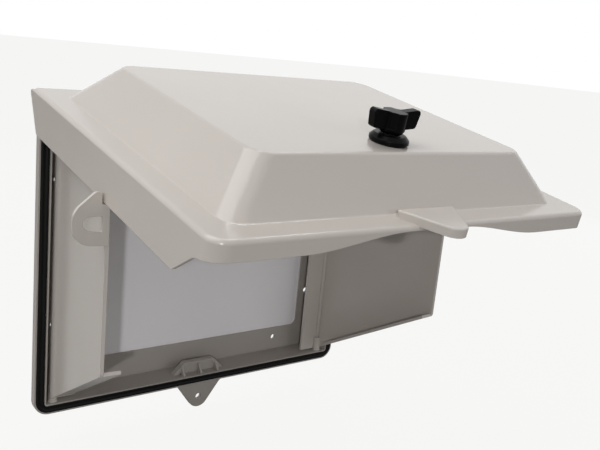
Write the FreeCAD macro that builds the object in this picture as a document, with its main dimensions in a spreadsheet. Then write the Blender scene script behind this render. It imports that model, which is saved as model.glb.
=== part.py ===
import FreeCAD, Part
import math
import os
from types import SimpleNamespace

# Protective hood for a wall-mounted operator panel.
# Millimetres, X to the right, Y into the wall, Z up. The origin is the centre of the frame on the
# mounting plane. The lid is drawn shut and the wings along their own length, and the placement of each
# piece then opens it as far as it stands propped open.

doc = FreeCAD.newDocument("hinged_enclosure")

DRIVING_SIZES = {
    # Frame
    "frame_width": 302.4, "frame_height": 253.5, "frame_depth": 28.0, "lip_depth": 7.0,
    "lip_radius": 12.0, "side_border": 9.2, "bottom_border": 9.0, "top_border": 18.0,
    "tub_wall": 2.5, "tub_radius": 5.5, "tub_inner_radius": 1.0, "flange_thickness": 3.5,
    "window_side": 22.0, "window_bottom": 22.5, "window_top": 18.0, "window_radius": 6.0,
    "rib_width": 1.2, "rib_proud": 1.4, "mount_hole": 5.5,
    "side_hole_inset": 13.0, "side_hole_pitch": 120.0, "end_hole_inset": 48.0,
    "top_hole_inset": 6.0, "bottom_hole_inset": 12.5,
    # Padlock lug
    "lug_tip_radius": 10.0, "lug_slope": 54.0, "lug_root_radius": 9.0, "lug_root_reach": 12.0,
    "lug_thickness": 4.0, "lug_hole": 5.8, "lug_hole_drop": 14.55,
    # Gasket
    "gasket_width": 6.5, "gasket_inset": 1.3, "gasket_top_inset": 8.0, "gasket_proud": 1.0,
    "gasket_depth": 3.0, "gasket_radius": 11.0,
    # Backing panel
    "panel_thickness": 2.0, "panel_overlap": 6.0, "panel_gap": 0.4,
    # Latch keeper
    "keeper_base": 52.0, "keeper_top": 30.0, "keeper_height": 10.5, "keeper_thickness": 6.0,
    "keeper_pocket": 1.5, "keeper_rim": 2.2, "keeper_gusset_reach": 5.2, "keeper_gusset_width": 2.2,
    "keeper_front": 6.5, "keeper_screw_pitch": 24.0, "keeper_screw_inset": 2.15, "keeper_screw": 2.2,
    "keeper_screw_head": 4.2, "keeper_screw_head_height": 1.8, "keeper_screw_length": 9.0,
    # Lid hinge
    "rod_diameter": 3.0, "rod_end_gap": 4.0, "knuckle_diameter": 7.6,
    "knuckle_length": 34.0, "bore_clearance": 0.15, "hinge_forward": 5.15, "hinge_below_top": 5.16,
    "hinge_web": 4.0, "cap_diameter": 6.0, "cap_length": 3.0,
    # Lid
    "lid_wall": 2.5, "lid_side_gap": 0.5, "lid_length": 267.0, "lid_back": 13.16, "lid_front": 7.35,
    "cheek_depth": 31.5, "cheek_tip": 231.5, "cheek_rise": 251.0, "cheek_rise_depth": 15.0,
    "cheek_tip_radius": 1.6, "cheek_crest_radius": 14.0,
    "cheek_back_top": -6.0, "cheek_back_bottom": 12.0, "skirt_depth": 11.5, "arch_depth": 3.0,
    "arch_width": 176.0, "rim_radius": 3.0, "lid_corner_radius": 12.0,
    "dome_height": 31.0, "dome_side": 16.3, "dome_side_run": 25.4, "dome_back": 14.4,
    "dome_back_run": 29.1, "dome_front": 17.1, "dome_front_run": 22.1, "dome_corner_radius": 13.0,
    "dome_crown_radius": 4.0, "dome_foot_radius": 2.0,
    "seal_rib": 1.6, "seal_gap": 0.3, "tab_reach": 18.0, "tab_tip_radius": 10.0, "tab_slope": 60.0,
    "tab_back": 14.5, "tab_proud": 5.0, "tab_thickness": 6.0, "tab_edge_radius": 1.2,
    "lid_angle": 79.83,
    # Latch
    "latch_from_front": 59.0, "bezel_diameter": 26.0, "bezel_height": 5.0, "bezel_bevel": 2.5,
    "neck_diameter": 14.0, "seal_thickness": 0.8, "nut_across": 19.0,
    "nut_height": 5.0, "washer_diameter": 22.0, "washer_thickness": 1.0, "shaft_diameter": 8.0,
    "cam_length": 36.0, "cam_width": 12.0, "cam_thickness": 3.0, "cam_square": 6.0, "cam_gap": 0.3,
    "cam_screw": 4.0, "cam_screw_head": 8.0, "cam_screw_head_height": 2.6, "cam_screw_length": 10.0,
    "cam_washer_diameter": 12.0, "knob_span": 40.0, "knob_height": 16.1, "knob_gap": 0.5,
    "knob_hub": 17.0, "knob_neck": 14.0, "knob_neck_height": 2.7, "knob_wing_thickness": 5.5,
    "knob_dip": 2.0, "knob_flute": 5.0, "knob_flute_depth": 1.3, "knob_tip_radius": 2.5,
    # Wings
    "wing_axis_inset": 7.0, "wing_axis_back": 23.0, "wing_reach": 133.3, "wing_wall": 2.5,
    "wing_flare": 6.0, "wing_foot": 1.5, "wing_top_gap": 3.0,
    "wing_front_low": 79.2, "wing_front_high": 187.95, "wing_corner_radius": 4.0,
    "wing_flange": 12.0, "wing_flange_start": 20.0, "wing_flange_sink": 0.5,
    "wing_hinge_flange": 17.0, "wing_bend": 7.0, "wing_boss": 7.2, "wing_boss_length": 12.0,
    "wing_pin": 4.0, "wing_pin_seat": 7.0, "wing_pin_reach": 10.0, "wing_washer": 1.2,
    "hook_thickness": 3.5, "hook_reach": 21.0, "hook_height": 33.0, "hook_drop": 0.5,
    "hook_shoulder": 22.5, "hook_foot": 7.0, "hook_eye_start": 2.4, "hook_eye_width": 10.6,
    "hook_eye_low": 9.0, "hook_eye_height": 9.0,
}

sheet = doc.addObject("Spreadsheet::Sheet", "sizes")
for row, (alias, number) in enumerate(DRIVING_SIZES.items(), start=1):
    sheet.set("A%d" % row, alias)
    sheet.set("B%d" % row, str(number))
    sheet.setAlias("B%d" % row, alias)
doc.recompute()
d = SimpleNamespace(**{alias: float(sheet.get(alias)) for alias in DRIVING_SIZES})

REACH_PAST = 400.0
sub_parts = []


def vector(x, y, z):
    return FreeCAD.Vector(x, y, z)


def add(kind, name, at=None, **settings):
    """Adds an object; a setting that is text is bound to the sheet."""
    obj = doc.addObject(kind, name)
    for key, setting in settings.items():
        if isinstance(setting, str):
            obj.setExpression(key, setting)
        else:
            setattr(obj, key, setting)
    if at is not None:
        obj.Placement = at if isinstance(at, FreeCAD.Placement) else FreeCAD.Placement(
            at, FreeCAD.Rotation())
    return obj


def rounded(corners):
    """Lines and tangent arcs through corners (a, b, radius), as a closed outline."""
    count = len(corners)
    starts, ends, arcs = [], [], []
    for i, (a, b, radius) in enumerate(corners):
        here = vector(a, b, 0)
        before = vector(*corners[i - 1][:2], 0) - here
        after = vector(*corners[(i + 1) % count][:2], 0) - here
        before.normalize()
        after.normalize()
        half = before.getAngle(after) / 2
        reach = radius / math.tan(half)
        starts.append(here + before * reach)
        ends.append(here + after * reach)
        middle = before + after
        if radius > 0:
            middle.normalize()
            tip = here + middle * (radius / math.sin(half) - radius)
            arcs.append(Part.Arc(starts[-1], tip, ends[-1]))
        else:
            arcs.append(None)
    outline = []
    for i in range(count):
        if arcs[i]:
            outline.append(arcs[i])
        goal = starts[(i + 1) % count]
        if ends[i].distanceToPoint(goal) > 1e-6:
            outline.append(Part.LineSegment(ends[i], goal))
    return outline


VIEWS = {
    "top": (FreeCAD.Rotation(), vector(0, 0, 1)),
    "front": (FreeCAD.Rotation(vector(1, 0, 0), 90), vector(0, 1, 0)),
    "side": (FreeCAD.Rotation(vector(1, 1, 1), 120), vector(1, 0, 0)),
}


def profile(name, view, level, corners):
    """A sketch of a rounded outline, in a plane square to one axis at the given level."""
    turn, along = VIEWS[view]
    sketch = doc.addObject("Sketcher::SketchObject", name + "_sketch")
    sketch.addGeometry(rounded(corners), False)
    sketch.Placement = FreeCAD.Placement(along * level, turn)
    return sketch


def plate(name, view, level, corners, thickness):
    """A sketch pushed along its axis; the thickness is an expression or a number."""
    sketch = profile(name, view, level, corners)
    return add("Part::Extrusion", name, Base=sketch, DirMode=0,
               Dir=VIEWS[view][1], Solid=True, LengthFwd=thickness)


def rectangle(width, bottom, top, radius):
    """Corners of an upright rectangle centred on X = 0."""
    return [(-width / 2, bottom, radius), (width / 2, bottom, radius),
            (width / 2, top, radius), (-width / 2, top, radius)]


def rod(name, radius, length, at):
    return add("Part::Cylinder", name, at, Radius=radius, Height=length)


def along_x(x, y, z):
    return FreeCAD.Placement(vector(x, y, z), FreeCAD.Rotation(vector(0, 1, 0), 90))


def into_wall(x, y, z):
    return FreeCAD.Placement(vector(x, y, z), FreeCAD.Rotation(vector(1, 0, 0), -90))


def join(name, pieces):
    return add("Part::MultiFuse", name, Shapes=pieces)


def cut(name, base, tools):
    tool = tools[0] if len(tools) == 1 else join(name + "_tools", tools)
    return add("Part::Cut", name, Base=base, Tool=tool)


def group(name, pieces):
    return add("Part::Compound", name, Links=pieces)


def intersect(name, base, tool):
    return add("Part::Common", name, Base=base, Tool=tool)


def fillet(name, base, radius, chosen):
    """Rounds the edges of a piece that a test of the edge picks out."""
    doc.recompute()
    edges = [(i, radius, radius) for i, edge in enumerate(base.Shape.Edges, start=1) if chosen(edge)]
    return add("Part::Fillet", name, Base=base, Edges=edges)


def lies_at(y):
    """A test for edges that lie in the plane square to the wall's depth at y."""
    return lambda edge: abs(edge.BoundBox.YMin - y) < 0.01 and abs(edge.BoundBox.YMax - y) < 0.01


def keep(obj, label, placement=None):
    """Marks a finished sub-part; its label names its file."""
    obj.Label = label
    if placement is not None:
        obj.Placement = placement
    sub_parts.append(obj)


# Levels shared by several pieces
lip_half = d.frame_width / 2
top_edge = d.frame_height / 2
bottom_edge = -top_edge
face_y = -d.frame_depth
lip_y = face_y + d.gasket_proud
lip_back_y = lip_y + d.lip_depth
flange_y = -d.flange_thickness
tub_half = lip_half - d.side_border
ledge = bottom_edge + d.bottom_border
ceiling = top_edge - d.top_border
window_half = tub_half - d.window_side
sill = ledge + d.window_bottom
header = ceiling - d.window_top
hinge_y = face_y - d.hinge_forward
hinge_z = top_edge - d.hinge_below_top
bore = "(sizes.rod_diameter + sizes.bore_clearance) / 2"
pin_bore = "(sizes.wing_pin + sizes.bore_clearance) / 2"

# Frame: one moulding, a tub with a front lip, a back flange, hinge knuckles and a padlock lug
lip = plate("lip", "front", lip_y, rectangle(d.frame_width, bottom_edge, top_edge, d.lip_radius),
            "sizes.lip_depth")
tub = plate("tub", "front", lip_y, rectangle(2 * (tub_half + d.tub_wall), ledge - d.tub_wall,
                                             ceiling + d.tub_wall, d.tub_radius), -lip_y)
tub_rib = plate("tub_rib", "front", lip_y - d.rib_proud, rectangle(
    2 * (tub_half + d.rib_width), ledge - d.rib_width, ceiling + d.rib_width,
    d.tub_inner_radius + d.rib_width), "sizes.rib_proud + 1")
tub_space = plate("tub_space", "front", face_y - 5,
                  rectangle(2 * tub_half, ledge, ceiling, d.tub_inner_radius), flange_y - face_y + 5)
window = plate("window", "front", flange_y - 1,
               rectangle(2 * window_half, sill, header, d.window_radius),
               "sizes.flange_thickness + 2")
panel_half = window_half + d.panel_overlap
rebate = plate("rebate", "front", -d.panel_thickness,
               rectangle(2 * panel_half + 2 * d.panel_gap, sill - d.panel_overlap - d.panel_gap,
                         header + d.panel_overlap + d.panel_gap, d.window_radius),
               "sizes.panel_thickness + 1")

gasket_half = lip_half - d.gasket_inset
gasket_bottom = bottom_edge + d.gasket_inset
gasket_top = top_edge - d.gasket_top_inset
groove_y = face_y + d.gasket_depth


def gasket_ring(name, front, back, spare):
    outer = plate(name + "_outer", "front", front, rectangle(
        2 * (gasket_half + spare), gasket_bottom - spare, gasket_top + spare, d.gasket_radius),
        back - front)
    band = d.gasket_width + spare
    inner = plate(name + "_inner", "front", front - 1, rectangle(
        2 * (gasket_half - band), gasket_bottom + band, gasket_top - band,
        d.gasket_radius - d.gasket_width), back - front + 2)
    return cut(name, outer, [inner])


groove = gasket_ring("groove", lip_y - 1, groove_y, 0.05)

side_hole_x = tub_half - d.side_hole_inset
hole_places = [(s * side_hole_x, h * d.side_hole_pitch / 2) for s in (-1, 1) for h in (-1, 1)]
hole_places += [(s * (tub_half - d.end_hole_inset), z) for s in (-1, 1)
                for z in (ledge + d.bottom_hole_inset, ceiling - d.top_hole_inset)]
mount_holes = [rod("mount_hole_%d" % i, "sizes.mount_hole / 2", "sizes.flange_thickness + 2",
                   into_wall(x, flange_y - 1, z)) for i, (x, z) in enumerate(hole_places)]

# The lug's straight flanks are tangent to a tip that is concentric with its hole
lug_y = lip_back_y - d.lug_thickness
lug_hole_z = bottom_edge - d.lug_hole_drop
lug_slope = math.radians(d.lug_slope)
lug_apex = lug_hole_z - d.lug_tip_radius / math.cos(lug_slope)
lug_half = (bottom_edge - lug_apex) / math.tan(lug_slope)
lug = plate("lug", "front", lug_y, [
    (-lug_half - d.lug_root_reach, bottom_edge + 1, 0), (-lug_half - d.lug_root_reach, bottom_edge, 0),
    (-lug_half, bottom_edge, d.lug_root_radius), (0, lug_apex, d.lug_tip_radius),
    (lug_half, bottom_edge, d.lug_root_radius), (lug_half + d.lug_root_reach, bottom_edge, 0),
    (lug_half + d.lug_root_reach, bottom_edge + 1, 0)], "sizes.lug_thickness")
lug_hole = rod("lug_hole", "sizes.lug_hole / 2", "sizes.lug_thickness + 2",
               into_wall(0, lug_y - 1, lug_hole_z))

# The rod runs through frame knuckles at both ends and in the middle, with lid knuckles between them
rod_half = lip_half - d.rod_end_gap
outer_knuckle = rod_half - d.knuckle_length
frame_knuckles = [(-rod_half + d.cap_length, d.knuckle_length), (-d.knuckle_length / 2, d.knuckle_length),
                  (rod_half - d.cap_length - d.knuckle_length, d.knuckle_length)]
lid_knuckles = [(s * (outer_knuckle - d.cap_length + d.knuckle_length / 2) / 2 - d.knuckle_length / 2,
                 d.knuckle_length) for s in (-1, 1)]


def knuckle_row(name, spans, web_box):
    solids = []
    for i, (start, length) in enumerate(spans):
        solids.append(rod("%s_barrel_%d" % (name, i), "sizes.knuckle_diameter / 2", length,
                          along_x(start, hinge_y, hinge_z)))
        solids.append(web_box("%s_web_%d" % (name, i), start, length))
    return solids


def frame_web(name, start, length):
    return add("Part::Box", name, vector(start, hinge_y, hinge_z), Length=length,
               Width=lip_y - hinge_y + 1, Height="sizes.hinge_web - 0.4")


frame_body = join("frame_body", [lip, tub, tub_rib, lug] +
                  knuckle_row("frame_knuckle", frame_knuckles, frame_web))
rod_bore = rod("rod_bore", bore, REACH_PAST, along_x(-REACH_PAST / 2, hinge_y, hinge_z))
wing_axis_x = tub_half - d.wing_axis_inset
wing_axis_y = -d.wing_axis_back
pin_seats = []
for s in (-1, 1):
    for start in (ledge - d.wing_pin_seat, ceiling):
        pin_seats.append(rod("pin_seat", pin_bore, "sizes.wing_pin_seat",
                             vector(s * wing_axis_x, wing_axis_y, start)))
keeper_y = face_y + d.keeper_front
screw_y = keeper_y + d.keeper_thickness - d.keeper_screw_inset
keeper_bores = [rod("keeper_bore", "sizes.keeper_screw / 2 + 0.1", 12.0,
                    vector(s * d.keeper_screw_pitch / 2, screw_y, ledge - 6)) for s in (-1, 1)]
frame = cut("frame_solid", frame_body,
            [tub_space, window, rebate, groove, lug_hole, rod_bore] + mount_holes + pin_seats + keeper_bores)
keep(frame, "frame")

# Gasket: extruded rubber strip pressed into the groove round the lip
keep(gasket_ring("gasket_solid", face_y, groove_y, 0.0), "gasket")

# Backing panel: flat sheet held between the flange and the wall
keep(plate("panel_solid", "front", -d.panel_thickness, rectangle(
    2 * panel_half, sill - d.panel_overlap, header + d.panel_overlap,
    d.window_radius - d.panel_gap), "sizes.panel_thickness"), "backing_panel")

# Latch keeper: trapezoid wall with a rim round a shallow pocket and three gussets at its front,
# screwed to the ledge from below
keeper_top_z = ledge + d.keeper_height
keeper_back_y = keeper_y + d.keeper_thickness


def keeper_outline(inset):
    return [(-d.keeper_base / 2 + 2 * inset, ledge - (1 if inset else 0), 0),
            (d.keeper_base / 2 - 2 * inset, ledge - (1 if inset else 0), 0),
            (d.keeper_top / 2 - inset, keeper_top_z - inset, 2.0),
            (-d.keeper_top / 2 + inset, keeper_top_z - inset, 2.0)]


keeper_block = plate("keeper_block", "front", keeper_y, keeper_outline(0), "sizes.keeper_thickness")
keeper_pocket = plate("keeper_pocket", "front", keeper_y - 1, keeper_outline(d.keeper_rim),
                      "sizes.keeper_pocket + 1")
gusset_front = keeper_y - d.keeper_gusset_reach
gusset_pitch = d.keeper_top / 2 + d.keeper_rim
gussets = [plate("gusset", "side", i * gusset_pitch - d.keeper_gusset_width / 2, [
    (gusset_front, ledge, 0), (keeper_back_y - 1, ledge, 0), (keeper_back_y - 1, keeper_top_z - 2.5, 0),
    (keeper_y, keeper_top_z - 2.5, 0), (gusset_front, ledge + 1.5, 0)], "sizes.keeper_gusset_width")
    for i in (-1, 0, 1)]
screw_bites = [rod("screw_bite", "sizes.keeper_screw / 2 + 0.05", "sizes.keeper_screw_length",
                   vector(s * d.keeper_screw_pitch / 2, screw_y, ledge - 2)) for s in (-1, 1)]
keeper_wall = cut("keeper_wall", keeper_block, [keeper_pocket])
keep(cut("keeper_solid", join("keeper_joined", [keeper_wall] + gussets), screw_bites), "latch_keeper")
head_z = ledge - d.tub_wall
screws = []
for s in (-1, 1):
    x = s * d.keeper_screw_pitch / 2
    screws.append(join("keeper_screw", [
        rod("keeper_screw_shank", "sizes.keeper_screw / 2", "sizes.keeper_screw_length - 1",
            vector(x, screw_y, head_z)),
        rod("keeper_screw_cap", "sizes.keeper_screw_head / 2", "sizes.keeper_screw_head_height",
            vector(x, screw_y, head_z - d.keeper_screw_head_height))]))
keep(group("keeper_screw_group", screws), "keeper_screws")

# Hinge rod and its push-on end caps
keep(rod("rod_solid", "sizes.rod_diameter / 2", 2 * rod_half, along_x(-rod_half, hinge_y, hinge_z)),
     "hinge_rod")
caps = []
for s, start in ((-1, -rod_half), (1, rod_half - d.cap_length + 0.3)):
    cap = rod("cap", "sizes.cap_diameter / 2", "sizes.cap_length - 0.3", along_x(start, hinge_y, hinge_z))
    hole = rod("cap_hole", "sizes.rod_diameter / 2 + 0.02", 10.0, along_x(start - 5, hinge_y, hinge_z))
    caps.append(cut("rod_cap", cap, [hole]))
keep(group("rod_cap_group", caps), "rod_caps")

# Wing pins and the washers between wing and frame
pins, washers = [], []
for s in (-1, 1):
    for start, washer_z in ((ledge - d.wing_pin_seat, ledge),
                            (ceiling - d.wing_top_gap - d.wing_pin_reach + 3, ceiling - d.wing_washer)):
        centre = vector(s * wing_axis_x, wing_axis_y, start)
        pins.append(rod("wing_pin_rod", "sizes.wing_pin / 2",
                        "sizes.wing_pin_seat + sizes.wing_pin_reach", centre))
        place = vector(s * wing_axis_x, wing_axis_y, washer_z)
        washers.append(cut("wing_washer_ring", rod("washer_disc", "sizes.wing_boss / 2",
                                                   "sizes.wing_washer", place),
                           [rod("washer_hole", pin_bore, "sizes.wing_washer", place)]))
keep(group("wing_pin_group", pins), "wing_pins")
keep(group("wing_washer_group", washers), "wing_washers")

# Lid, drawn shut: a hood open at the back, its rim in front of the gasket
rim_y = hinge_y - d.lid_front
lid_top = hinge_z + d.lid_back
inner_half = lip_half + d.lid_side_gap
lid_half = inner_half + d.lid_wall
lid_bottom = lid_top - d.lid_length
open_lid = FreeCAD.Placement(vector(0, 0, 0), FreeCAD.Rotation(vector(1, 0, 0), -d.lid_angle),
                             vector(0, hinge_y, hinge_z))


def lid_point(v, w, radius=0.0):
    """A point of the lid's side view: v down from its back edge, w out from the rim's face."""
    return (rim_y - w, lid_top - v, radius)


def hood_plan(half, low, high, corner):
    """The lid from the front: rounded at its front corners, square at the hinge."""
    return [(-half, low, corner), (half, low, corner), (half, high, 0), (-half, high, 0)]


back_reach = -d.cheek_back_top
hood_slab = plate("hood_slab", "front", rim_y, hood_plan(
    lid_half, lid_bottom, lid_top + back_reach + 2, d.lid_corner_radius), d.cheek_depth + 2)
hood_rounded = fillet("hood_rounded", hood_slab, d.rim_radius, lambda edge: lies_at(rim_y)(
    edge) and edge.BoundBox.ZMin < lid_top + back_reach)
hood_side = plate("hood_side", "side", -lid_half - 1, [
    lid_point(0, 1), lid_point(d.lid_length + 1, 1), lid_point(d.lid_length + 1, -d.skirt_depth),
    lid_point(d.cheek_rise, -d.cheek_rise_depth, d.cheek_crest_radius),
    lid_point(d.cheek_tip, -d.cheek_depth, d.cheek_tip_radius),
    lid_point(d.cheek_back_bottom, -d.cheek_depth, 5.0),
    lid_point(d.cheek_back_top, -2 * d.lid_wall, 3.0), lid_point(d.cheek_back_top, -d.lid_wall, 1.0),
    lid_point(0, -d.lid_wall * 0.4)], 2 * lid_half + 2)
hood_block = intersect("hood_block", hood_rounded, hood_side)


def dome(name, shrink):
    """The raised centre, or with a wall's thickness taken off, the hollow under it."""
    base_half = lid_half - d.dome_side - shrink
    top_half = base_half - d.dome_side_run + shrink * 0.45
    base_y = rim_y + (1.0 if shrink == 0 else d.lid_wall + 1)
    crown_y = rim_y - d.dome_height + shrink
    base = profile(name + "_base", "front", base_y, rectangle(
        2 * base_half, lid_bottom + d.dome_front + shrink, lid_top - d.dome_back - shrink,
        d.dome_corner_radius - shrink))
    crown = profile(name + "_crown", "front", crown_y, rectangle(
        2 * top_half, lid_bottom + d.dome_front + d.dome_front_run + shrink * 0.55,
        lid_top - d.dome_back - d.dome_back_run - shrink * 0.55, d.dome_corner_radius - shrink))
    return add("Part::Loft", name, Sections=[base, crown], Solid=True, Ruled=True)


crown_y = rim_y - d.dome_height
dome_outer = fillet("dome_rounded", dome("dome_outer", 0.0), d.dome_crown_radius, lies_at(crown_y))
lid_sharp = join("lid_sharp", [hood_block, dome_outer])
dome_base_half = lid_half - d.dome_side
lid_outer = fillet("lid_outer", lid_sharp, d.dome_foot_radius, lambda edge: lies_at(rim_y)(
    edge) and abs(edge.BoundBox.Center.x) < dome_base_half + 1
    and lid_bottom + d.dome_front - 1 < edge.BoundBox.Center.z < lid_top - d.dome_back + 1
    and edge.Length < 2 * lid_half)
hollow = plate("lid_hollow", "front", rim_y + d.lid_wall, hood_plan(
    inner_half, lid_bottom + d.lid_wall, lid_top + back_reach + 5, d.lid_corner_radius - d.lid_wall),
    2 * d.cheek_depth)
back_trim = add("Part::Box", "back_trim", vector(-inner_half, rim_y - 1, lid_top),
                Length=2 * inner_half, Width=2 * d.cheek_depth, Height=2 * back_reach)
arch_half = d.arch_width / 2
skirt_back = rim_y + d.skirt_depth
arch_rise = d.skirt_depth - d.arch_depth
arch = plate("arch", "top", lid_bottom - 1, [
    (-arch_half, skirt_back + 1, 0), (arch_half, skirt_back + 1, 0), (arch_half * 0.97, skirt_back, 30.0),
    (arch_half * 0.42, skirt_back - arch_rise, 40.0), (-arch_half * 0.42, skirt_back - arch_rise, 40.0),
    (-arch_half * 0.97, skirt_back, 30.0)], d.lid_wall + 2)
latch_z = lid_bottom + d.latch_from_front
latch_hole = rod("latch_hole", "sizes.neck_diameter / 2 + 0.2", 10.0, into_wall(0, crown_y - 2, latch_z))
lid_hollowed = cut("lid_hollowed", lid_outer,
                   [hollow, back_trim, dome("dome_inner", d.lid_wall), arch, latch_hole])

# The sealing rib meets the middle of the gasket all round
rib_half = gasket_half - d.gasket_width / 2 + d.seal_rib / 2
rib_low = gasket_bottom + d.gasket_width / 2 - d.seal_rib / 2
rib_high = gasket_top - d.gasket_width / 2 + d.seal_rib / 2
rib_y = rim_y + d.lid_wall - 0.5
rib_depth = face_y - d.seal_gap - rib_y
seal_outer = plate("seal_outer", "front", rib_y,
                   rectangle(2 * rib_half, rib_low, rib_high, d.gasket_radius - 2), rib_depth)
seal_inner = plate("seal_inner", "front", rib_y - 1, rectangle(
    2 * (rib_half - d.seal_rib), rib_low + d.seal_rib, rib_high - d.seal_rib,
    d.gasket_radius - 2 - d.seal_rib), rib_depth + 2)
seal_ring = cut("seal_ring", seal_outer, [seal_inner])


def lid_web(name, start, length):
    return add("Part::Box", name, vector(start, rim_y + d.lid_wall - 0.5, hinge_z - d.hinge_web / 2),
               Length=length, Width=hinge_y - rim_y - d.lid_wall + 0.5, Height="sizes.hinge_web")


# The tab is a rounded wedge that stands proud of the rim and reaches past the front edge
tab_slope = math.radians(d.tab_slope)
tab_apex = lid_bottom - d.tab_reach + d.tab_tip_radius - d.tab_tip_radius / math.cos(tab_slope)
tab_root_z = lid_bottom + d.tab_back
tab_half = (tab_root_z - tab_apex) / math.tan(tab_slope)
tab_slab = plate("tab_slab", "front", rim_y - d.tab_proud, [
    (-tab_half, tab_root_z, 1.5), (0, tab_apex, d.tab_tip_radius), (tab_half, tab_root_z, 1.5)],
    "sizes.tab_thickness")
tab = fillet("tab", tab_slab, d.tab_edge_radius, lies_at(rim_y - d.tab_proud))
lid_parts = join("lid_joined", [lid_hollowed, seal_ring, tab] +
                 knuckle_row("lid_knuckle", lid_knuckles, lid_web))
lid_bore = rod("lid_bore", bore, 2 * inner_half, along_x(-inner_half, hinge_y, hinge_z))
keep(cut("lid_solid", lid_parts, [lid_bore]), "lid_shell", open_lid)

# Latch: every piece is drawn upright on its own axis and set on the lid's crown
on_crown = open_lid.multiply(FreeCAD.Placement(
    vector(0, crown_y, latch_z), FreeCAD.Rotation(vector(1, 0, 0), 90)))


def ring(name, radius, hole, height, low):
    disc = rod(name + "_disc", radius, height, vector(0, 0, low))
    bore_tool = rod(name + "_bore", hole, height + " + 2" if isinstance(height, str) else height + 2,
                    vector(0, 0, low - 1))
    return cut(name, disc, [bore_tool])


keep(ring("seal_solid", "sizes.bezel_diameter / 2 - 1", "sizes.neck_diameter / 2 + 0.2",
          "sizes.seal_thickness", 0.0), "latch_seal", on_crown)
bezel_base = d.seal_thickness
bezel_disc = rod("bezel_disc", "sizes.bezel_diameter / 2", "sizes.bezel_height - sizes.bezel_bevel",
                 vector(0, 0, bezel_base))
bezel_cone = add("Part::Cone", "bezel_cone",
                 vector(0, 0, bezel_base + d.bezel_height - d.bezel_bevel),
                 Radius1="sizes.bezel_diameter / 2",
                 Radius2="sizes.bezel_diameter / 2 - sizes.bezel_bevel", Height="sizes.bezel_bevel")
neck_bottom = -d.lid_wall - d.washer_thickness - d.nut_height
neck = rod("neck", "sizes.neck_diameter / 2 ", bezel_base - neck_bottom + 0.5,
           vector(0, 0, neck_bottom - 0.4))
shaft_bore = rod("shaft_bore", "sizes.shaft_diameter / 2 + 0.15", 40.0, vector(0, 0, -20))
keep(cut("bezel_solid", join("bezel_joined", [bezel_disc, bezel_cone, neck]), [shaft_bore]),
     "latch_bezel", on_crown)
keep(ring("nut_washer_solid", "sizes.washer_diameter / 2", "sizes.neck_diameter / 2 + 0.1",
          "sizes.washer_thickness", -d.lid_wall - d.washer_thickness), "nut_washer", on_crown)
nut = add("Part::Prism", "nut_hex", vector(0, 0, neck_bottom), Polygon=6,
          Circumradius="sizes.nut_across / 2 / cos(30)", Height="sizes.nut_height")
nut_hole = rod("nut_hole", "sizes.neck_diameter / 2 + 0.05", 20.0, vector(0, 0, neck_bottom - 5))
keep(cut("nut_solid", nut, [nut_hole]), "latch_nut", on_crown)

cam_front = -(keeper_back_y + d.cam_gap - crown_y)
cam_back = cam_front - d.cam_thickness
knob_base = bezel_base + d.bezel_height + d.knob_gap
shaft_round = rod("shaft_round", "sizes.shaft_diameter / 2", knob_base + 8 - cam_front,
                  vector(0, 0, cam_front))
shaft_square = add("Part::Box", "shaft_square",
                   vector(-d.cam_square / 2, -d.cam_square / 2, cam_back),
                   Length="sizes.cam_square", Width="sizes.cam_square",
                   Height="sizes.cam_thickness + 1")
screw_hole = rod("shaft_tap", "sizes.cam_screw / 2 + 0.05", 10.0, vector(0, 0, cam_back - 1))
keep(cut("shaft_solid", join("shaft_joined", [shaft_round, shaft_square]), [screw_hole]),
     "latch_shaft", on_crown)
cam_plate = plate("cam_plate", "top", cam_back, [
    (d.cam_width / 2, -d.cam_width / 2, 5.9), (d.cam_width / 2, d.cam_width / 2, 5.9),
    (-d.cam_length - d.cam_width / 2, d.cam_width / 2, 5.9),
    (-d.cam_length - d.cam_width / 2, -d.cam_width / 2, 5.9)],
    "sizes.cam_thickness")
cam_hole = add("Part::Box", "cam_hole",
               vector(-d.cam_square / 2 - 0.1, -d.cam_square / 2 - 0.1, cam_back - 1),
               Length="sizes.cam_square + 0.2", Width="sizes.cam_square + 0.2", Height=8.0)
keep(cut("cam_solid", cam_plate, [cam_hole]), "latch_cam", on_crown)
keep(ring("cam_washer_solid", "sizes.cam_washer_diameter / 2", "sizes.cam_screw / 2 + 0.1",
          "sizes.washer_thickness", cam_back - d.washer_thickness), "cam_washer", on_crown)
cam_screw_base = cam_back - d.washer_thickness
keep(join("cam_screw_joined", [
    rod("cam_screw_shank", "sizes.cam_screw / 2", "sizes.cam_screw_length - 2",
        vector(0, 0, cam_screw_base)),
    rod("cam_screw_cap", "sizes.cam_screw_head / 2", "sizes.cam_screw_head_height",
        vector(0, 0, cam_screw_base - d.cam_screw_head_height))]), "cam_screw", on_crown)

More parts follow.
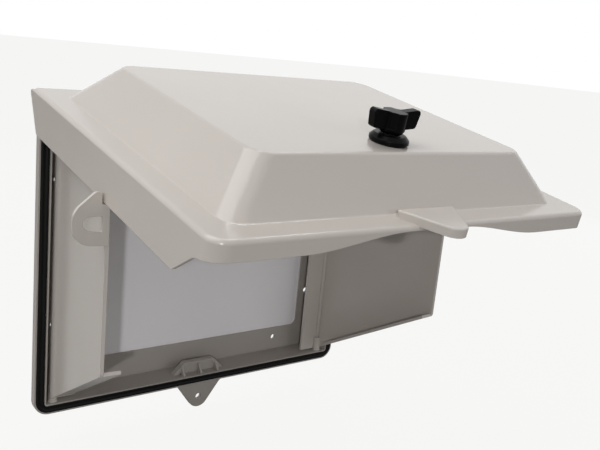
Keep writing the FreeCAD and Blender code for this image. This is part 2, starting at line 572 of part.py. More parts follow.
# Knob: a fluted hub and two flat wings that rise towards their tips, moulded in one
hub_base = knob_base + d.knob_neck_height
knob_top = knob_base + d.knob_height
hub_top = knob_top - d.knob_dip
hub_radius = d.knob_hub / 2
hub = rod("knob_hub_disc", "sizes.knob_hub / 2", hub_top - hub_base, vector(0, 0, hub_base))
neck_cone = add("Part::Cone", "knob_neck_cone", vector(0, 0, knob_base), Radius1="sizes.knob_neck / 2",
                Radius2="sizes.knob_hub / 2", Height="sizes.knob_neck_height")
flute_reach = hub_radius + d.knob_flute - d.knob_flute_depth
flutes = [rod("knob_flute_cut", "sizes.knob_flute", "sizes.knob_height",
              vector(flute_reach * math.cos(a), flute_reach * math.sin(a), hub_base + 1))
          for a in [math.radians(45 + 90 * i) for i in range(4)]]
half_span = d.knob_span / 2
grip = plate("knob_grip", "front", -d.knob_wing_thickness / 2, [
    (-hub_radius, hub_base, 3.0), (hub_radius, hub_base, 3.0),
    (half_span - d.knob_dip, hub_base + 1, d.knob_tip_radius), (half_span, knob_top, d.knob_tip_radius),
    (hub_radius * 0.6, hub_top, 6.0), (-hub_radius * 0.6, hub_top, 6.0),
    (-half_span, knob_top, d.knob_tip_radius), (-half_span + d.knob_dip, hub_base + 1, d.knob_tip_radius)],
    "sizes.knob_wing_thickness")
knob_bore = rod("knob_bore", "sizes.shaft_diameter / 2 + 0.05", 8.1, vector(0, 0, knob_base))
knob_joined = join("knob_joined", [cut("knob_hub", join("knob_body", [hub, neck_cone]), flutes), grip])
keep(cut("knob_solid", knob_joined, [knob_bore]), "knob", on_crown)

# Wings: bent panels on vertical pins, drawn along their own length from the pin
boss_radius = d.wing_boss / 2
wing_low = ledge + d.wing_foot
wing_high = ceiling - d.wing_top_gap
wing_front_low = ledge + d.wing_front_low
wing_front_high = ledge + d.wing_front_high


def wing(name, side):
    """side is 1 for the right wing and -1 for the left; the outer face lies on that side of the pin."""
    face = boss_radius
    inner = face - d.wing_wall
    tip = inner - d.wing_hinge_flange - d.wing_wall
    lean = math.tan(math.radians(d.wing_flare)) * d.wing_hinge_flange
    section = [(d.wing_reach, face, 0), (-face, face, d.wing_bend),
               (-face - lean, tip, 0), (-face - lean + d.wing_wall, tip, 0),
               (-face + d.wing_wall, inner, d.wing_bend - d.wing_wall), (d.wing_reach, inner, 0)]
    section = [(a, side * b, r) for a, b, r in section]
    sheet_solid = plate(name + "_sheet", "top", wing_low, section, wing_high - wing_low)
    behind = -2 * d.wing_hinge_flange
    outline = plate(name + "_outline", "front", behind, [
        (behind, wing_low, 0), (0, wing_low, 0), (d.wing_reach, wing_front_low, d.wing_corner_radius),
        (d.wing_reach, wing_front_high, 3.0), (0, wing_high, 0), (behind, wing_high, 0)], -2 * behind)
    panel = intersect(name + "_panel", sheet_solid, outline)
    slope = math.atan2(wing_front_low - wing_low, d.wing_reach)
    strip_side = inner + d.wing_flange_sink
    strip = add("Part::Box", name + "_strip", FreeCAD.Placement(
        vector(0, -strip_side if side < 0 else strip_side - d.wing_flange, wing_low),
        FreeCAD.Rotation(vector(0, 1, 0), -math.degrees(slope))),
        Length=d.wing_reach / math.cos(slope), Width="sizes.wing_flange", Height="sizes.wing_wall")
    strip_trim = add("Part::Box", name + "_strip_trim", vector(d.wing_flange_start, behind, wing_low),
                     Width=-2 * behind, Height=wing_high - wing_low,
                     Length=d.wing_reach - d.wing_flange_start)
    flange = intersect(name + "_flange", strip, strip_trim)
    bosses = [rod(name + "_boss", "sizes.wing_boss / 2", "sizes.wing_boss_length", vector(0, 0, z))
              for z in (wing_low, wing_high - d.wing_boss_length)]
    top_z = wing_front_high - d.hook_drop
    low_z = top_z - d.hook_height
    reach = face + d.hook_reach
    hook_corners = [(inner, top_z, 0), (inner, low_z, 0), (face, low_z, 0),
                    (reach - d.hook_foot, low_z, 7.0), (reach, low_z + d.hook_foot, 4.0),
                    (reach - 1.0, top_z - d.hook_shoulder, 3.5), (face + 0.8, top_z - 0.3, 0.5)]
    hook = plate(name + "_hook", "side", d.wing_reach - d.hook_thickness,
                 [(side * a, b, r) for a, b, r in hook_corners], "sizes.hook_thickness")
    eye_low = low_z + d.hook_eye_low
    eye_in = face + d.hook_eye_start
    eye_high = eye_low + d.hook_eye_height
    eye = plate(name + "_eye", "side", d.wing_reach - d.hook_thickness - 1, [
        (side * eye_in, eye_low, 1.0), (side * (eye_in + d.hook_eye_width), eye_low, 3.6),
        (side * (eye_in + d.hook_eye_width * 0.62), eye_high, 3.4),
        (side * eye_in, eye_high, 1.0)], "sizes.hook_thickness + 2")
    bore_tool = rod(name + "_bore", pin_bore, REACH_PAST, vector(0, 0, -REACH_PAST / 2))
    solid = cut(name + "_solid", join(name + "_joined", [panel, flange, hook] + bosses), [eye, bore_tool])
    turn = -90 + side * d.wing_flare
    keep(solid, name, FreeCAD.Placement(vector(side * wing_axis_x, wing_axis_y, 0),
                                        FreeCAD.Rotation(vector(0, 0, 1), turn)))


wing("left_wing", -1)
wing("right_wing", 1)

doc.recompute()
for obj in doc.Objects:
    if "Invalid" in obj.State or "Error" in obj.State:
        raise RuntimeError("%s failed: %s" % (obj.Label, obj.State))
for obj in sub_parts:
    if obj.Shape.isNull() or not obj.Shape.isValid():
        raise RuntimeError("%s has no valid shape" % obj.Label)

os.makedirs("parts", exist_ok=True)
for obj in sub_parts:
    obj.Shape.exportStep("parts/%s.step" % obj.Label)
    box = obj.Shape.BoundBox
    print("%-14s solids %d volume %9.1f box %.1f %.1f %.1f  %.1f %.1f %.1f" % (
        obj.Label, len(obj.Shape.Solids), obj.Shape.Volume, box.XMin, box.YMin, box.ZMin,
        box.XMax, box.YMax, box.ZMax))
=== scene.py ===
import math

import bmesh
import bpy
from mathutils import Matrix, Vector


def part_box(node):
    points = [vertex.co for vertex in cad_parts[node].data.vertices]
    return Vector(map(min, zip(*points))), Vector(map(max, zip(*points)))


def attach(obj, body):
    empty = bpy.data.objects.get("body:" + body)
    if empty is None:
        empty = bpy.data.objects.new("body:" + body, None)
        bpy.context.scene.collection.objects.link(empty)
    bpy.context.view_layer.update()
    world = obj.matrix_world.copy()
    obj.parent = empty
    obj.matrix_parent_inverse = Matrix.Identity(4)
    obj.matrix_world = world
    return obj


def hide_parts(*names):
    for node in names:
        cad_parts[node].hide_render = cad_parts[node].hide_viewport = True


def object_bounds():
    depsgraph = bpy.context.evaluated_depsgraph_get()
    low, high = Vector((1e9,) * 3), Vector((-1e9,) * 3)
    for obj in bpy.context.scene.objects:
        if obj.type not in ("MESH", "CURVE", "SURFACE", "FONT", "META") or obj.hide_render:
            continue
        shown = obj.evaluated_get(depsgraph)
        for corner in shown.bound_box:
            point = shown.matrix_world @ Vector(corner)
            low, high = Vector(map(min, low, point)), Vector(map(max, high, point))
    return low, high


# Photo camera
# The photograph's viewing angle, worked out from the edges of the enclosure: seen from its lower
# left, a little above the lid. Places are metres in the enclosure's own axes.
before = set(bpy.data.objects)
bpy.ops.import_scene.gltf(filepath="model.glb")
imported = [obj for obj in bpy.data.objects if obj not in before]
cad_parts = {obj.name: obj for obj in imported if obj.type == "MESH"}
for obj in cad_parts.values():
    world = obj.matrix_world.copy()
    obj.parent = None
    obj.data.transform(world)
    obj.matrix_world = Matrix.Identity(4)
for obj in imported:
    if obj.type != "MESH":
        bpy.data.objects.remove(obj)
cad_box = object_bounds()

CAMERA_PLACE = Vector((-0.3358, -0.5818, 0.1756))
CAMERA_YAW, CAMERA_PITCH, CAMERA_ROLL = 37.872, 12.814, -5.702
FOCAL_PIXELS, PHOTO_WIDTH, SENSOR_MM, NEAREST = 762.7, 600.0, 36.0, 0.01

yaw, pitch, roll = (math.radians(a) for a in (CAMERA_YAW, CAMERA_PITCH, CAMERA_ROLL))
forward = Vector((math.sin(yaw) * math.cos(pitch), math.cos(yaw) * math.cos(pitch), -math.sin(pitch)))
level_right = Vector((math.cos(yaw), -math.sin(yaw), 0.0))
level_down = forward.cross(level_right)
right = level_right * math.cos(roll) + level_down * math.sin(roll)
up = level_right * math.sin(roll) - level_down * math.cos(roll)
camera_data = bpy.data.cameras.new("photo_camera")
camera_data.sensor_width = SENSOR_MM
camera_data.lens = FOCAL_PIXELS / PHOTO_WIDTH * SENSOR_MM
camera_data.clip_start = NEAREST
camera = bpy.data.objects.new("photo_camera", camera_data)
camera.matrix_world = Matrix.Translation(CAMERA_PLACE) @ Matrix((right, up, -forward)).transposed().to_4x4()
bpy.context.scene.collection.objects.link(camera)
bpy.context.scene.camera = camera


# Floor, world and lamps
# A plain pale floor under the enclosure and soft studio light, so that a colour renders about as it
# is written. The floor and the world show white to the camera and in reflections only.
def linear(hex_colour):
    """A linear colour with alpha from sRGB hex digits."""
    parts = [int(hex_colour[i:i + 2], 16) / 255 for i in (0, 2, 4)]
    return [p / 12.92 if p <= 0.04045 else ((p + 0.055) / 1.055) ** 2.4 for p in parts] + [1.0]


def node(tree, kind, settings=None, **links):
    """Adds a node; settings name its properties or sockets, links say what feeds each socket."""
    made = tree.nodes.new(kind)
    for key, setting in (settings or {}).items():
        if hasattr(made, key):
            setattr(made, key, setting)
        else:
            made.inputs[key].default_value = setting
    for key, source in links.items():
        socket = made.inputs[int(key[1:])] if key[0] == "_" else made.inputs[key]
        tree.links.new(source, socket)
    return made


# The floor's gap below the enclosure, its half width, its paint, and how far it shows as white paper
FLOOR_DROP, FLOOR_HALF, FLOOR_COLOUR, FLOOR_ROUGHNESS = 0.012, 20.0, "ACACAA", 0.9
PAPER_WHITE, FLOOR_LIFT = "FCFCFB", 0.93
floor_mesh = bpy.data.meshes.new("studio_floor")
floor_bm = bmesh.new()
bmesh.ops.create_grid(floor_bm, x_segments=1, y_segments=1, size=FLOOR_HALF,
                      matrix=Matrix.Translation((0, 0, cad_box[0][2] - FLOOR_DROP)))
floor_bm.to_mesh(floor_mesh)
floor_bm.free()
floor = bpy.data.objects.new("studio_floor", floor_mesh)
bpy.context.scene.collection.objects.link(floor)
floor_material = bpy.data.materials.new("painted_studio_floor")
floor_material.use_nodes = True
floor_tree = floor_material.node_tree
floor_bsdf = floor_tree.nodes["Principled BSDF"]
floor_bsdf.inputs["Base Color"].default_value = linear(FLOOR_COLOUR)
floor_bsdf.inputs["Roughness"].default_value = FLOOR_ROUGHNESS
lift = node(floor_tree, "ShaderNodeMath", {"operation": "MULTIPLY"},
            _0=node(floor_tree, "ShaderNodeLightPath").outputs["Is Camera Ray"])
lift.inputs[1].default_value = FLOOR_LIFT
paper = node(floor_tree, "ShaderNodeEmission", {"Color": linear(PAPER_WHITE), "Strength": 1.0})
pale_floor = node(floor_tree, "ShaderNodeMixShader", None, _0=lift.outputs[0],
                  _1=floor_bsdf.outputs[0], _2=paper.outputs[0])
floor_tree.links.new(pale_floor.outputs[0], floor_tree.nodes["Material Output"].inputs["Surface"])
floor_mesh.materials.append(floor_material)

# What the world lights the enclosure with, and how bright it looks behind it and in reflections
WORLD_LIGHT, BACKDROP = 0.09, 1.0
world = bpy.data.worlds.new("studio_world")
bpy.context.scene.world = world
world.use_nodes = True
sky = world.node_tree
sky.nodes.clear()
rays = node(sky, "ShaderNodeLightPath")
seen = node(sky, "ShaderNodeMath", {"operation": "MAXIMUM"}, _0=rays.outputs["Is Camera Ray"],
            _1=rays.outputs["Is Glossy Ray"])
ambient = node(sky, "ShaderNodeBackground", {"Color": (1, 1, 1, 1), "Strength": WORLD_LIGHT})
backdrop = node(sky, "ShaderNodeBackground", {"Color": (1, 1, 1, 1), "Strength": BACKDROP})
mixed = node(sky, "ShaderNodeMixShader", None, _0=seen.outputs[0], _1=ambient.outputs[0],
             _2=backdrop.outputs[0])
node(sky, "ShaderNodeOutputWorld", None, Surface=mixed.outputs[0])


def lamp(name, place, aim, watts, size, mirrored=True, breadth=None):
    """An area lamp that looks at a point; glossy faces reflect it unless mirrored is off."""
    data = bpy.data.lights.new(name, "AREA")
    data.energy = watts
    data.shape = "RECTANGLE"
    data.size, data.size_y = size, breadth or size
    obj = bpy.data.objects.new(name, data)
    obj.location = place
    obj.rotation_euler = (Vector(aim) - Vector(place)).to_track_quat("-Z", "Y").to_euler()
    obj.visible_glossy = mirrored
    bpy.context.scene.collection.objects.link(obj)


LAMP_AIM = (0.0, -0.1, 0.03)
lamp("ceiling_tube", (0.3, 0.15, 1.4), (0.3, 0.15, 0.0), 6.0, 1.5, breadth=0.08)
lamp("top_left_softbox", (-0.75, -0.05, 1.15), LAMP_AIM, 8.8, 1.2)
lamp("front_left_softbox", (-0.775, -1.33, 0.42), LAMP_AIM, 4.9, 0.03)
lamp("front_right_softbox", (0.5, -1.35, 0.4), LAMP_AIM, 2.2, 0.6, mirrored=False)
lamp("left_softbox", (-1.35, 0.25, 0.15), LAMP_AIM, 3.4, 0.8, mirrored=False)
lamp("right_softbox", (1.35, 0.35, 0.35), LAMP_AIM, 4.0, 0.9, mirrored=False)
lamp("back_softbox", (0.55, 1.35, 0.75), LAMP_AIM, 3.2, 1.0, mirrored=False)


# Moulded polycarbonate
# The lid, the wings, the frame and the keeper are injection-moulded polycarbonate in a light warm
# grey. The mould's fine spark texture gives a satin sheen, with soft swells where the walls shrank,
# and handling leaves faint dull patches.

# The shading radius of edges in metres, and how much glossier and duller the worn patches are
EDGE_EASE, GLOSSIER, DULLER, PLASTIC_IOR = 0.0005, 0.04, 0.06, 1.58
SWELL_DEPTH, GRAIN_STRENGTH, GRAIN_DEPTH = 0.0012, 0.10, 0.00015


def plastic(name, colour, darker, rough, grain_mm, swell, specular=0.5):
    """Opaque moulded plastic with a fine grain, wide colour drift and slow shrink marks."""
    material = bpy.data.materials.new(name)
    material.use_nodes = True
    tree = material.node_tree
    bsdf = tree.nodes["Principled BSDF"]
    place = node(tree, "ShaderNodeTexCoord").outputs["Object"]
    drift = node(tree, "ShaderNodeTexNoise", {"Scale": 9.0, "Detail": 3.0, "Roughness": 0.5}, Vector=place)
    tone = node(tree, "ShaderNodeMix", {"data_type": "RGBA"}, _0=drift.outputs["Fac"])
    tone.inputs[6].default_value = linear(darker)
    tone.inputs[7].default_value = linear(colour)
    tree.links.new(tone.outputs[2], bsdf.inputs["Base Color"])
    wear = node(tree, "ShaderNodeTexNoise", {"Scale": 38.0, "Detail": 5.0}, Vector=place)
    sheen = node(tree, "ShaderNodeMapRange", {"To Min": rough - GLOSSIER, "To Max": rough + DULLER},
                 Value=wear.outputs["Fac"])
    tree.links.new(sheen.outputs[0], bsdf.inputs["Roughness"])
    grain = node(tree, "ShaderNodeTexNoise", {"Scale": 1000.0 / grain_mm, "Detail": 2.0}, Vector=place)
    shrink = node(tree, "ShaderNodeTexNoise", {"Scale": 14.0, "Detail": 1.0}, Vector=place)
    eased = node(tree, "ShaderNodeBevel", {"samples": 4, "Radius": EDGE_EASE})
    soft = node(tree, "ShaderNodeBump", {"Strength": swell, "Distance": SWELL_DEPTH},
                Height=shrink.outputs["Fac"], Normal=eased.outputs[0])
    fine = node(tree, "ShaderNodeBump", {"Strength": GRAIN_STRENGTH, "Distance": GRAIN_DEPTH},
                Height=grain.outputs["Fac"], Normal=soft.outputs[0])
    tree.links.new(fine.outputs[0], bsdf.inputs["Normal"])
    bsdf.inputs["IOR"].default_value = PLASTIC_IOR
    bsdf.inputs["Specular IOR Level"].default_value = specular
    return material


LID_GREY, LID_GREY_DEEP = "CDC6BF", "C5BEB7"
FRAME_GREY, FRAME_GREY_DEEP = "AEA8A2", "A59F99"
lid_plastic = plastic("glossy_moulded_polycarbonate", LID_GREY, LID_GREY_DEEP, 0.17, 1.3, 0.25)
frame_plastic = plastic("satin_moulded_polycarbonate", FRAME_GREY, FRAME_GREY_DEEP, 0.42, 1.3, 0.2)
# The backing sheet's colour is painted paler than its own light grey. This painted light stands in for the
# light that falls on it.
panel_plastic = plastic("matt_grey_sheet_painted_paler", "F8F5F8", "F1EEF2", 0.6, 1.6, 0.1)
knob_plastic = plastic("black_moulded_nylon", "080809", "060606", 0.3, 1.2, 0.2, specular=0.06)
acetal = plastic("white_turned_acetal", "DCDAD4", "D2D0CA", 0.45, 1.0, 0.1)

# Gasket rubber
# An extruded black EPDM strip: dull, with a soft highlight along its crown.
rubber = plastic("extruded_black_rubber", "0F0F0F", "0B0B0B", 0.5, 0.9, 0.25, specular=0.12)

# Zinc-plated steel
# Hinge rod, pins, nut, washers, cam and screws: bright zinc, slightly mottled.
ZINC_BRIGHT, ZINC_DULL, SMOOTHEST, ROUGHEST = "B9BBBD", "A3A5A8", 0.28, 0.42
steel = bpy.data.materials.new("zinc_plated_steel")
steel.use_nodes = True
steel_tree = steel.node_tree
steel_bsdf = steel_tree.nodes["Principled BSDF"]
steel_bsdf.inputs["Metallic"].default_value = 1.0
steel_place = node(steel_tree, "ShaderNodeTexCoord").outputs["Object"]
spangle = node(steel_tree, "ShaderNodeTexVoronoi", {"Scale": 420.0}, Vector=steel_place)
steel_tone = node(steel_tree, "ShaderNodeMix", {"data_type": "RGBA"}, _0=spangle.outputs["Distance"])
steel_tone.inputs[6].default_value = linear(ZINC_BRIGHT)
steel_tone.inputs[7].default_value = linear(ZINC_DULL)
steel_tree.links.new(steel_tone.outputs[2], steel_bsdf.inputs["Base Color"])
steel_rough = node(steel_tree, "ShaderNodeMapRange", {"To Min": SMOOTHEST, "To Max": ROUGHEST},
                   Value=spangle.outputs["Distance"])
steel_tree.links.new(steel_rough.outputs[0], steel_bsdf.inputs["Roughness"])

# Which material each node has
FINISH = {
    "frame": frame_plastic, "gasket": rubber, "backing_panel": panel_plastic,
    "latch_keeper": frame_plastic, "keeper_screws": steel, "hinge_rod": steel, "rod_caps": steel,
    "wing_pins": steel, "wing_washers": acetal, "lid_shell": lid_plastic, "latch_seal": rubber,
    "latch_bezel": knob_plastic, "nut_washer": steel, "latch_nut": steel, "latch_shaft": steel,
    "latch_cam": steel, "cam_washer": steel, "cam_screw": steel, "knob": knob_plastic,
    "left_wing": lid_plastic, "right_wing": lid_plastic,
}
for name, material in FINISH.items():
    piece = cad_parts[name]
    piece.data.materials.clear()
    piece.data.materials.append(material)

# Eased mouldings
# The frame, keeper, knob and its bezel come out of their moulds with every outer edge broken by a
# small radius. Each takes its solid's own shape, with that radius added round its edges.

# Each piece's body, its radius in mm, its slot, and whether its chains of edges have room to be rounded
# one by one
EASED = {
    "frame": ("base", 0.5, "frame_polycarbonate", False),
    "latch_keeper": ("base", 0.4, "lid_polycarbonate", False),
    "knob": ("latch", 0.7, "knob_nylon", True),
    "latch_bezel": ("lid", 0.5, "knob_nylon", True),
}
MOULDING_EASE, EASE_STEPS = 0.5, 2
SHARP_EDGE, CREASE, FLAT_FACES = math.radians(32), math.radians(40), math.radians(0.6)
# Distances in metres within which points count as one
SAME_POINT, NEAR_POINT = 1e-6, 1e-5


def finish_piece(name, bm, material, body, node_name):
    """Makes a bmesh into a piece that stands for a solid and rides on its body."""
    mesh = bpy.data.meshes.new(name)
    bm.to_mesh(mesh)
    bm.free()
    mesh.materials.append(material)
    piece = bpy.data.objects.new(name, mesh)
    bpy.context.scene.collection.objects.link(piece)
    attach(piece, body)
    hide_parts(node_name)
    flats = piece.modifiers.new("even_shading_of_flats", "WEIGHTED_NORMAL")
    flats.keep_sharp = True


def merged_copy(name):
    """A node's own shape as a bmesh with its triangles joined."""
    bm = bmesh.new()
    bm.from_mesh(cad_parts[name].data)
    bmesh.ops.remove_doubles(bm, verts=bm.verts, dist=SAME_POINT)
    bmesh.ops.dissolve_limit(bm, angle_limit=FLAT_FACES, verts=bm.verts, edges=bm.edges)
    return bm


def chains(edges):
    """Groups of edges that hang together."""
    left, groups = dict.fromkeys(edges), []
    while left:
        ends, chain = [left.popitem()[0]], []
        while ends:
            chain.append(ends.pop())
            near = dict.fromkeys(e for v in chain[-1].verts for e in v.link_edges if e in left)
            for edge in near:
                del left[edge]
            ends += near
        groups.append(chain)
    return groups


def ease_edges(bm, ease_mm, by_chain=True):
    """Rounds the sharp edges, as far as the room beside them allows, and shades the rest smoothly."""
    sharp = [e for e in bm.edges if e.is_manifold and e.calc_face_angle() > SHARP_EDGE]
    for edges in chains(sharp) if by_chain else [sharp]:
        bmesh.ops.bevel(bm, geom=edges, offset=ease_mm / 1000, offset_type="OFFSET", affect="EDGES",
                        segments=EASE_STEPS, profile=0.5, material=-1, clamp_overlap=True)
    for face in bm.faces:
        face.smooth = True
    for edge in bm.edges:
        edge.smooth = not edge.is_manifold or edge.calc_face_angle() < CREASE


for name, (body, ease_mm, slot, by_chain) in EASED.items():
    bm = merged_copy(name)
    ease_edges(bm, ease_mm, by_chain)
    finish_piece("moulded_" + name, bm, FINISH[name], body, name)

# Hood
# The lid is one deep moulding. The lower edge of its front skirt sweeps up over the keeper in one long
# smooth curve, and the sealing rib behind it rises too, out of sight. The solid's edges run straighter.

LID_HINGE, LID_ANGLE = Vector((0.0, -0.03315, 0.12159)), math.radians(79.83)
# Places are those of the shut lid, from its hinge: x across, y into the wall and z up. Of each edge:
# where its sweep starts and ends, out from the middle, and its depth in the middle, in mm
SKIRT_SWEEP, RIB_SWEEP = (22.0, 98.0, -4.35), (32.0, 112.0, -0.4)
# Limits in metres that pick out the skirt's front, its lower edge, and the rib's front bar
SKIRT_BACK, SKIRT_TOP, SKIRT_LOW = -0.2512, -0.0049, -0.0046
RIB_FRONT, RIB_BACK, RIB_LOW = -0.2450, -0.2425, 0.0048
FACES_WALL = 0.9
# At the sides: the skirt's outer face, its lower edge's depth there and that edge's slope inwards
SKIRT_FACE, SKIRT_SIDES, SKIRT_DRAFT, RIB_SIDES = -0.25384, 0.00436, 0.204, 0.00485
# Cuts across both edges in mm, apart from where the solid's own corners lie close together
SWEEP_CUTS = [side * mm for mm in (22, 26, 30, *range(44, 81, 4), *range(90, 111, 4)) for side in (-1, 1)]
shut = Matrix.Rotation(LID_ANGLE, 4, "X") @ Matrix.Translation(-LID_HINGE)
hood = merged_copy("lid_shell")
hood.transform(shut)


def skirt_faces():
    """The faces of the front skirt, below the lid's rim."""
    return [f for f in hood.faces if all(v.co.z < SKIRT_BACK and v.co.y > SKIRT_TOP for v in f.verts)]


def rib_faces():
    """The faces of the sealing rib's lower edge that reach its front bar."""
    return [f for f in hood.faces if f.normal.y > FACES_WALL and all(v.co.y > RIB_LOW for v in f.verts)
            and any(RIB_FRONT < v.co.z < RIB_BACK for v in f.verts)]


def sweep_up(verts, start, end, middle, depth_at_sides):
    """Moves the corners of a lower edge onto a curve that eases in at the sides and in the middle."""
    for vert in verts:
        out = min(max((abs(vert.co.x) * 1000 - start) / (end - start), 0.0), 1.0)
        if out < 1.0:
            low = middle / 1000
            vert.co.y = low + (depth_at_sides(vert) - low) * out * out * (3 - 2 * out)


for cut in SWEEP_CUTS:
    hood.normal_update()
    faces = skirt_faces() + rib_faces()
    edges = dict.fromkeys(e for f in faces for e in f.edges)
    corners = dict.fromkeys(v for f in faces for v in f.verts)
    bmesh.ops.bisect_plane(hood, geom=[*faces, *edges, *corners], dist=NEAR_POINT,
                           plane_no=(1, 0, 0), plane_co=(cut / 1000, 0, 0))
hood.normal_update()
skirt_edge = dict.fromkeys(v for f in skirt_faces() for v in f.verts
                           if v.co.y > SKIRT_LOW and any(g.normal.y > FACES_WALL for g in v.link_faces))
rib_edge = dict.fromkeys(v for f in rib_faces() for v in f.verts if RIB_FRONT < v.co.z < RIB_BACK)
sweep_up(skirt_edge, *SKIRT_SWEEP, lambda v: SKIRT_SIDES + SKIRT_DRAFT * (v.co.z - SKIRT_FACE))
sweep_up(rib_edge, *RIB_SWEEP, lambda v: RIB_SIDES)
hood.transform(shut.inverted())
bmesh.ops.recalc_face_normals(hood, faces=hood.faces)
ease_edges(hood, MOULDING_EASE)
finish_piece("moulded_lid_shell", hood, lid_plastic, "lid", "lid_shell")

# Wings and their hooks
# Each wing is one moulding. Its hook stands out at the front edge, and the open lid's cheek sits in
# the notch behind the hook's raised arm. The solid's own hook is lower and has no arm.

# The wings' pins in metres, the wings' outward lean in degrees, and in mm how far out from its pin a
# wing's front edge and its outer face lie
WING_AXIS, WING_FLARE, WING_REACH, WING_FACE = Vector((0.135, -0.023, 0.0)), 6.0, 133.3, 3.6
HOOK_THICKNESS, HOOK_ROOT, HOOK_STEPS = 3.5, 1.4, 6
# Corners in the hook's own plane: mm out from the wing's pin, mm up, and mm of rounding
HOOK_OUTLINE = [(HOOK_ROOT, 47.9, 0), (24.1, 48.9, 11.0), (24.1, 69.3, 5.5), (9.9, 82.2, 1.4),
                (6.5, 81.0, 0.6), (6.5, 74.3, 0.8), (HOOK_ROOT, 74.3, 0)]
HOOK_EYE = [(5.8, 56.9, 0.9), (18.0, 58.0, 4.4), (17.2, 66.5, 3.8), (5.8, 66.8, 0.9)]


def pin(side):
    """The foot of a wing's pin line."""
    return Vector((side * WING_AXIS.x, WING_AXIS.y, 0))


def rounded_loop(bm, corners, side, along, outward):
    """A closed loop of edges through corners, each rounded by its own amount."""
    face = bm.faces.new([bm.verts.new(pin(side) + along * WING_REACH / 1000 + outward * out / 1000
                                      + Vector((0, 0, height / 1000))) for out, height, _ in corners])
    for vert, (_, _, rounding) in zip(face.verts[:], corners):
        if rounding:
            bmesh.ops.bevel(bm, geom=[vert], offset=rounding / 1000, offset_type="OFFSET",
                            affect="VERTICES", segments=HOOK_STEPS, profile=0.5, material=-1)
    face = bm.faces[:][-1]
    edges = face.edges[:]
    bmesh.ops.delete(bm, geom=[face], context="FACES_ONLY")
    return edges


def hook_solid(side, along, outward):
    """The hook as a flat plate with its eye."""
    bm = bmesh.new()
    edges = rounded_loop(bm, HOOK_OUTLINE, side, along, outward)
    edges = [e for e in edges if e.is_valid] + rounded_loop(bm, HOOK_EYE, side, along, outward)
    bmesh.ops.triangle_fill(bm, use_beauty=True, edges=edges)
    made = bmesh.ops.extrude_face_region(bm, geom=bm.faces[:])["geom"]
    bmesh.ops.translate(bm, verts=[g for g in made if isinstance(g, bmesh.types.BMVert)],
                        vec=-along * HOOK_THICKNESS / 1000)
    bmesh.ops.recalc_face_normals(bm, faces=bm.faces)
    return bm


def as_object(name, bm):
    """A bmesh as a helper object, for the union of wing and hook."""
    mesh = bpy.data.meshes.new(name)
    bm.to_mesh(mesh)
    bm.free()
    made = bpy.data.objects.new(name, mesh)
    bpy.context.scene.collection.objects.link(made)
    return made


for name, side in (("left_wing", -1), ("right_wing", 1)):
    turn = math.radians(-90 + side * WING_FLARE)
    along = Vector((math.cos(turn), math.sin(turn), 0))
    outward = Vector((-math.sin(turn), math.cos(turn), 0)) * side
    bm = merged_copy(name)
    bmesh.ops.bisect_plane(bm, geom=bm.verts[:] + bm.edges[:] + bm.faces[:], dist=NEAR_POINT,
                           clear_outer=True, plane_co=pin(side) + outward * WING_FACE / 1000,
                           plane_no=outward)
    bmesh.ops.holes_fill(bm, edges=[e for e in bm.edges if e.is_boundary])
    bmesh.ops.dissolve_limit(bm, angle_limit=FLAT_FACES, verts=bm.verts, edges=bm.edges)
    plain = as_object(name + "_sheet", bm)
    hook = as_object(name + "_hook", hook_solid(side, along, outward))
    union = plain.modifiers.new("one_moulding", "BOOLEAN")
    union.operation, union.solver, union.object = "UNION", "EXACT", hook
    bm = bmesh.new()
    bm.from_object(plain, bpy.context.evaluated_depsgraph_get())
    bpy.data.objects.remove(plain)
    bpy.data.objects.remove(hook)
    bmesh.ops.remove_doubles(bm, verts=bm.verts, dist=NEAR_POINT)
    bmesh.ops.dissolve_limit(bm, angle_limit=FLAT_FACES, verts=bm.verts, edges=bm.edges)
    ease_edges(bm, MOULDING_EASE)
    finish_piece("moulded_" + name, bm, lid_plastic, name, name)

# Gasket strip
# A closed-cell rubber strip pressed into its groove: rounded shoulders and a shallow channel down the
# middle, where the lid's rib beds in.
gasket_low, gasket_high = (Vector(c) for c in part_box("gasket"))
CORNER_RADIUS, CORNER_STEPS, SHOULDER = 0.011, 10, 2.2
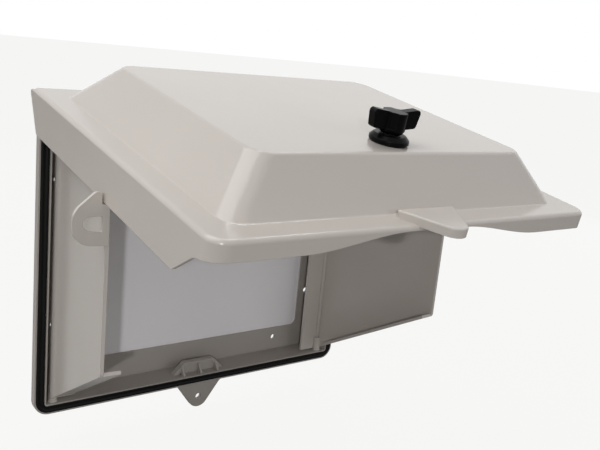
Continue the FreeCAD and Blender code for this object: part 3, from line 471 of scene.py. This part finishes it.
# How far each line of the strip lies inwards and forwards of the line before it, in mm
SHOULDER_TO_CHANNEL = [(0.25, 0.45), (0.5, 0.28), (0.75, 0.07), (0.6, -0.12), (0.5, -0.42), (0.65, -0.16)]
STRIP_STEPS = SHOULDER_TO_CHANNEL + [(inwards, -forwards) for inwards, forwards in SHOULDER_TO_CHANNEL[::-1]]
gasket_bm = bmesh.new()
gasket_bm.faces.new([gasket_bm.verts.new((x, gasket_high.y, z)) for x, z in (
    (gasket_low.x, gasket_low.z), (gasket_high.x, gasket_low.z),
    (gasket_high.x, gasket_high.z), (gasket_low.x, gasket_high.z))])
bmesh.ops.bevel(gasket_bm, geom=gasket_bm.verts[:], offset=CORNER_RADIUS, offset_type="OFFSET",
                affect="VERTICES", segments=CORNER_STEPS, profile=0.5, material=-1)
gasket_bm.normal_update()
spent = []


def stand_out(face, forwards_mm):
    """Extrudes a face towards the front; the old one is thrown away at the end."""
    spent.append(face)
    made = bmesh.ops.extrude_face_region(gasket_bm, geom=[face])["geom"]
    raised = [g for g in made if isinstance(g, bmesh.types.BMFace)][0]
    bmesh.ops.translate(gasket_bm, verts=list(raised.verts), vec=(0, -forwards_mm / 1000, 0))
    return raised


inside = stand_out(gasket_bm.faces[:][0], SHOULDER)
for inwards, forwards in STRIP_STEPS:
    bmesh.ops.inset_region(gasket_bm, faces=[inside], thickness=inwards / 1000, use_even_offset=True)
    bmesh.ops.translate(gasket_bm, verts=list(inside.verts), vec=(0, -forwards / 1000, 0))
spent.append(stand_out(inside, -SHOULDER))
bmesh.ops.delete(gasket_bm, geom=spent, context="FACES_ONLY")
bmesh.ops.bridge_loops(gasket_bm, edges=[e for e in gasket_bm.edges if e.is_boundary])
bmesh.ops.recalc_face_normals(gasket_bm, faces=gasket_bm.faces)
for face in gasket_bm.faces:
    face.smooth = True
finish_piece("rubber_gasket_strip", gasket_bm, rubber, "base", "gasket")

# Colours
# Colours show as they are written.
bpy.context.scene.view_settings.view_transform = "Standard"
